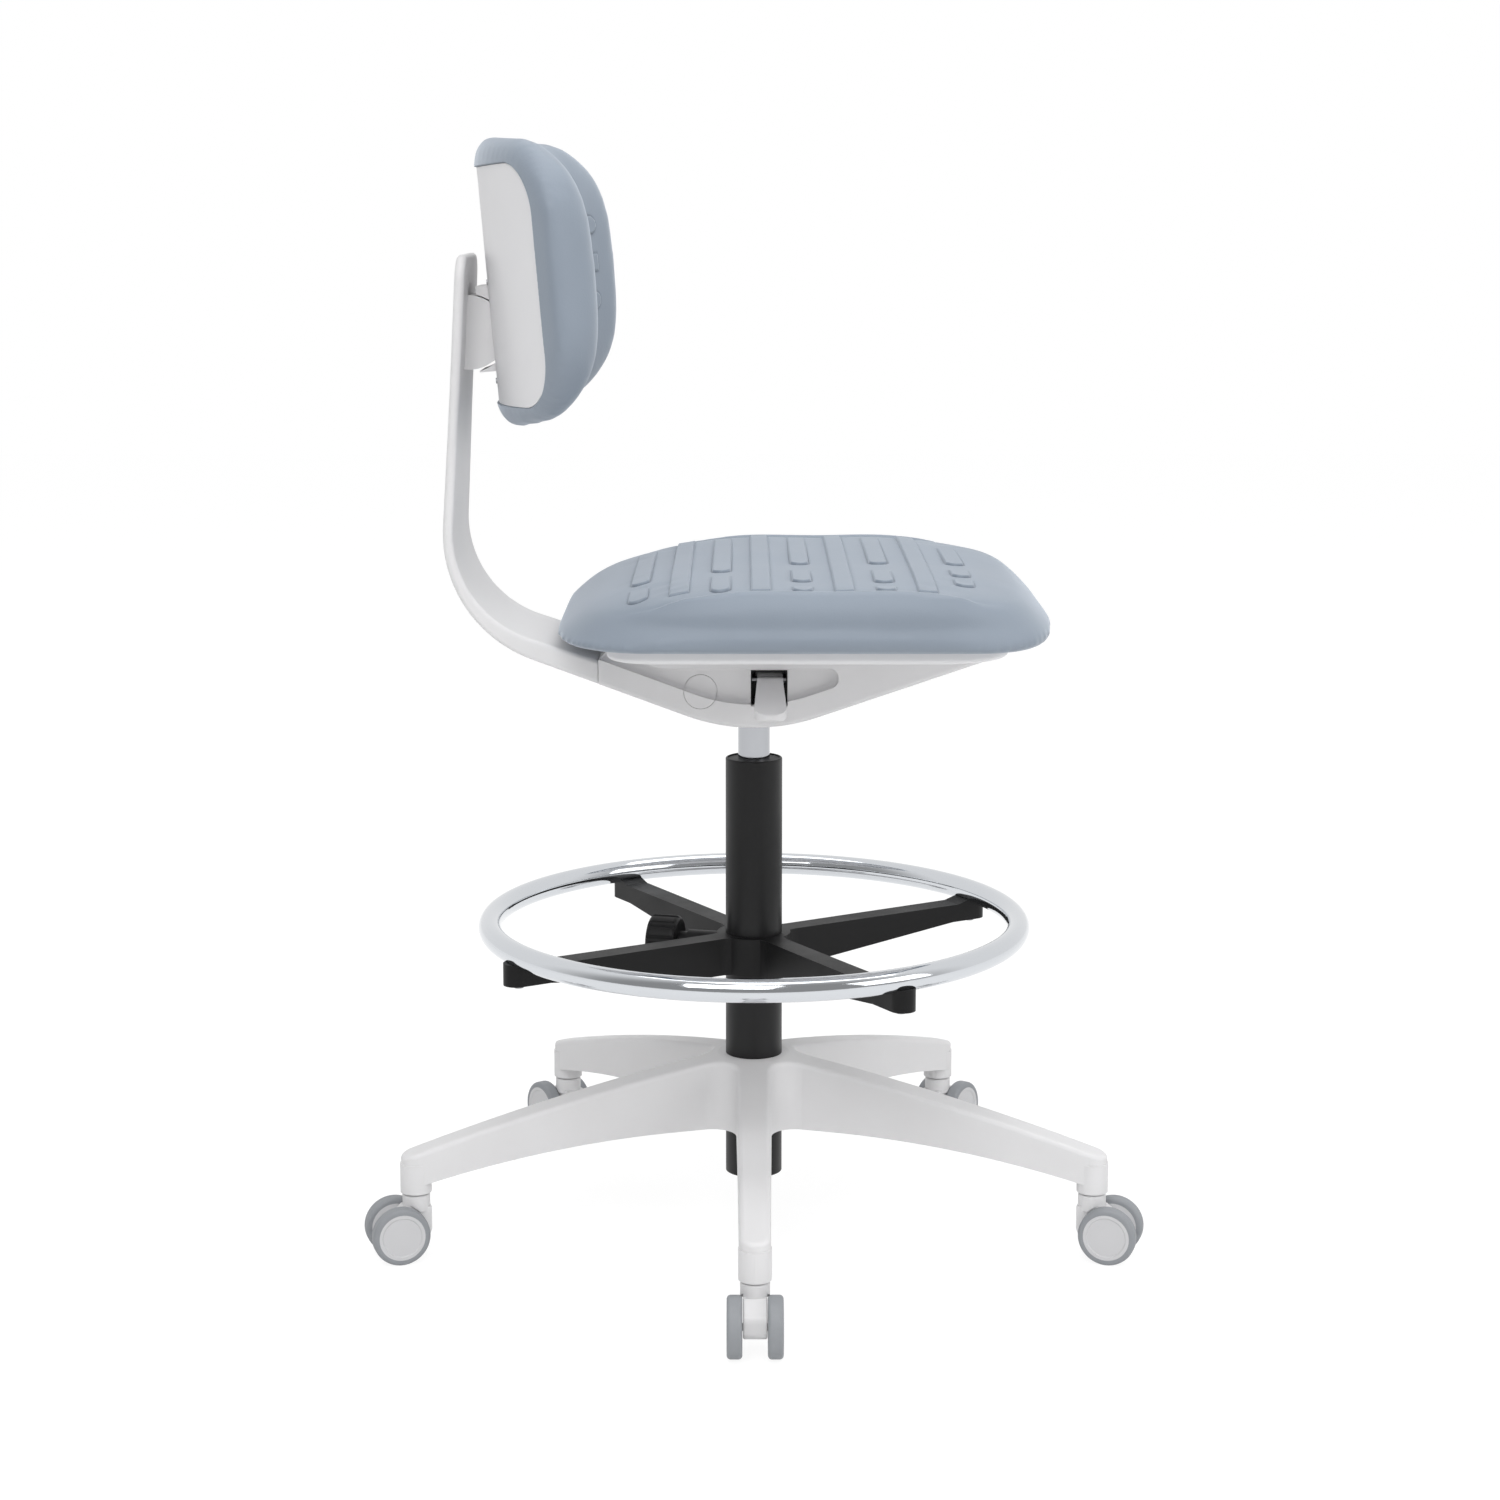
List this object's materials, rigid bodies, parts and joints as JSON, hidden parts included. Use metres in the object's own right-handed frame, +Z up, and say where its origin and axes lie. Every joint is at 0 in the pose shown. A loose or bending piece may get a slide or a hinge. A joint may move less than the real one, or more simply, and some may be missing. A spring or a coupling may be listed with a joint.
{
  "type": "cashier chair",
  "caption": "Height-adjustable swivel chair on a castor star base, with a clamped foot ring, a padded ribbed seat and a hinged curved backrest on a reclining J-shaped arm.",
  "frame": {"origin": "on the floor under the axis of the column", "axes": "+X towards the front of the seat, +Y towards the sitter's left, +Z up"},
  "size_m": [0.678, 0.6452, 0.9649],
  "materials": {
    "grey_nylon": "fine moulded satin",
    "white_plastic": "smooth moulded",
    "black_plastic": "fine moulded satin",
    "grey_tread": "soft matt tread",
    "bush_rubber": "matt",
    "charcoal_paint": "satin powder coat",
    "chrome": "polished plating",
    "steel": "plain turned steel",
    "blue_grey_foam": "self-skinned foam, fine matt grain"
  },
  "bodies": {
    "base": {"base_star": "grey_nylon", "column_tube": "charcoal_paint", "column_guide_bush": "black_plastic", "thrust_bearing": "steel"},
    "spindle": {"piston_rod": "chrome", "retaining_clip": "steel"},
    "seat": {"gas_cylinder": "chrome", "seat_carrier": "grey_nylon", "recline_pin": "steel", "pivot_caps": "grey_nylon", "torsion_bushes": "bush_rubber", "lever_pin": "steel", "seat_pan": "white_plastic", "seat_screws": "steel", "seat_cushion": "blue_grey_foam"},
    "release_pin": {"release_pin": "steel"},
    "height_lever": {"height_lever": "grey_nylon"},
    "back_arm": {"back_arm": "grey_nylon", "bracket_screws": "steel", "hinge_bracket": "grey_nylon", "hinge_pin": "steel"},
    "backrest": {"hinge_socket": "grey_nylon", "backrest_shell": "white_plastic", "shell_screws": "steel", "backrest_cushion": "blue_grey_foam"},
    "footring": {"footring_tube": "chrome", "footring_spider": "black_plastic", "footring_screws": "steel"},
    "clamp_knob": {"clamp_knob": "black_plastic", "clamp_stud": "steel"},
    "caster_1": {"caster_1_fork": "grey_nylon", "caster_1_pins": "steel"},
    "caster_1_wheel_left": {"caster_1_hub_left": "white_plastic", "caster_1_tread_left": "grey_tread"},
    "caster_1_wheel_right": {"caster_1_hub_right": "white_plastic", "caster_1_tread_right": "grey_tread"},
    "caster_2": {"caster_2_fork": "grey_nylon", "caster_2_pins": "steel"},
    "caster_2_wheel_left": {"caster_2_hub_left": "white_plastic", "caster_2_tread_left": "grey_tread"},
    "caster_2_wheel_right": {"caster_2_hub_right": "white_plastic", "caster_2_tread_right": "grey_tread"},
    "caster_3": {"caster_3_fork": "grey_nylon", "caster_3_pins": "steel"},
    "caster_3_wheel_left": {"caster_3_hub_left": "white_plastic", "caster_3_tread_left": "grey_tread"},
    "caster_3_wheel_right": {"caster_3_hub_right": "white_plastic", "caster_3_tread_right": "grey_tread"},
    "caster_4": {"caster_4_fork": "grey_nylon", "caster_4_pins": "steel"},
    "caster_4_wheel_left": {"caster_4_hub_left": "white_plastic", "caster_4_tread_left": "grey_tread"},
    "caster_4_wheel_right": {"caster_4_hub_right": "white_plastic", "caster_4_tread_right": "grey_tread"},
    "caster_5": {"caster_5_fork": "grey_nylon", "caster_5_pins": "steel"},
    "caster_5_wheel_left": {"caster_5_hub_left": "white_plastic", "caster_5_tread_left": "grey_tread"},
    "caster_5_wheel_right": {"caster_5_hub_right": "white_plastic", "caster_5_tread_right": "grey_tread"}
  },
  "joints": [
    {"name": "seat_swivel", "type": "hinge", "parent": "base", "child": "spindle", "pos_m": [0, 0, 0], "axis": [0, 0, 1], "continuous": true},
    {"name": "seat_height", "type": "slide", "parent": "spindle", "child": "seat", "axis": [0, 0, 1], "range_m": [-0.02, 0.24]},
    {"name": "height_lever_lift", "type": "hinge", "parent": "seat", "child": "height_lever", "pos_m": [0.0134, -0.055, 0.501], "axis": [-1, 0, 0], "range_deg": [0, 5], "stiffness_Nm_per_rad": 4, "springref_deg": -3.44},
    {"name": "release_press", "type": "slide", "parent": "seat", "child": "release_pin", "axis": [0, 0, -1], "range_m": [0, 0.0049]},
    {"name": "back_recline", "type": "hinge", "parent": "seat", "child": "back_arm", "pos_m": [-0.046, 0, 0.493], "axis": [0, -1, 0], "range_deg": [0, 15], "stiffness_Nm_per_rad": 70, "springref_deg": -17.19},
    {"name": "backrest_tilt", "type": "hinge", "parent": "back_arm", "child": "backrest", "pos_m": [-0.236, 0, 0.797], "axis": [0, 1, 0], "range_deg": [0, 10]},
    {"name": "footring_height", "type": "slide", "parent": "base", "child": "footring", "axis": [0, 0, 1], "range_m": [-0.07, 0.13]},
    {"name": "knob_turn", "type": "hinge", "parent": "footring", "child": "clamp_knob", "pos_m": [0, 0, 0.251], "axis": [-0.9703, 0.2419, 0], "range_deg": [0, 360]},
    {"name": "caster_1_swivel", "type": "hinge", "parent": "base", "child": "caster_1", "pos_m": [0, -0.308, 0.057], "axis": [0, 0, 1], "continuous": true},
    {"name": "caster_1_roll_left", "type": "hinge", "parent": "caster_1", "child": "caster_1_wheel_left", "pos_m": [0, -0.325, 0.025], "axis": [1, 0, 0], "continuous": true},
    {"name": "caster_1_roll_right", "type": "hinge", "parent": "caster_1", "child": "caster_1_wheel_right", "pos_m": [0, -0.325, 0.025], "axis": [1, 0, 0], "continuous": true},
    {"name": "caster_2_swivel", "type": "hinge", "parent": "base", "child": "caster_2", "pos_m": [0.29292, -0.09518, 0.057], "axis": [0, 0, 1], "continuous": true},
    {"name": "caster_2_roll_left", "type": "hinge", "parent": "caster_2", "child": "caster_2_wheel_left", "pos_m": [0.30909, -0.10043, 0.025], "axis": [0.309, 0.9511, 0], "continuous": true},
    {"name": "caster_2_roll_right", "type": "hinge", "parent": "caster_2", "child": "caster_2_wheel_right", "pos_m": [0.30909, -0.10043, 0.025], "axis": [0.309, 0.9511, 0], "continuous": true},
    {"name": "caster_3_swivel", "type": "hinge", "parent": "base", "child": "caster_3", "pos_m": [0.18104, 0.24918, 0.057], "axis": [0, 0, 1], "continuous": true},
    {"name": "caster_3_roll_left", "type": "hinge", "parent": "caster_3", "child": "caster_3_wheel_left", "pos_m": [0.19103, 0.26293, 0.025], "axis": [-0.809, 0.5878, 0], "continuous": true},
    {"name": "caster_3_roll_right", "type": "hinge", "parent": "caster_3", "child": "caster_3_wheel_right", "pos_m": [0.19103, 0.26293, 0.025], "axis": [-0.809, 0.5878, 0], "continuous": true},
    {"name": "caster_4_swivel", "type": "hinge", "parent": "base", "child": "caster_4", "pos_m": [-0.18104, 0.24918, 0.057], "axis": [0, 0, 1], "continuous": true},
    {"name": "caster_4_roll_left", "type": "hinge", "parent": "caster_4", "child": "caster_4_wheel_left", "pos_m": [-0.19103, 0.26293, 0.025], "axis": [-0.809, -0.5878, 0], "continuous": true},
    {"name": "caster_4_roll_right", "type": "hinge", "parent": "caster_4", "child": "caster_4_wheel_right", "pos_m": [-0.19103, 0.26293, 0.025], "axis": [-0.809, -0.5878, 0], "continuous": true},
    {"name": "caster_5_swivel", "type": "hinge", "parent": "base", "child": "caster_5", "pos_m": [-0.29292, -0.09518, 0.057], "axis": [0, 0, 1], "continuous": true},
    {"name": "caster_5_roll_left", "type": "hinge", "parent": "caster_5", "child": "caster_5_wheel_left", "pos_m": [-0.30909, -0.10043, 0.025], "axis": [0.309, -0.9511, 0], "continuous": true},
    {"name": "caster_5_roll_right", "type": "hinge", "parent": "caster_5", "child": "caster_5_wheel_right", "pos_m": [-0.30909, -0.10043, 0.025], "axis": [0.309, -0.9511, 0], "continuous": true}
  ],
  "couplings": [
    {"joint": "release_press", "follows": "height_lever_lift", "m_per_rad": 0.055}
  ]
}
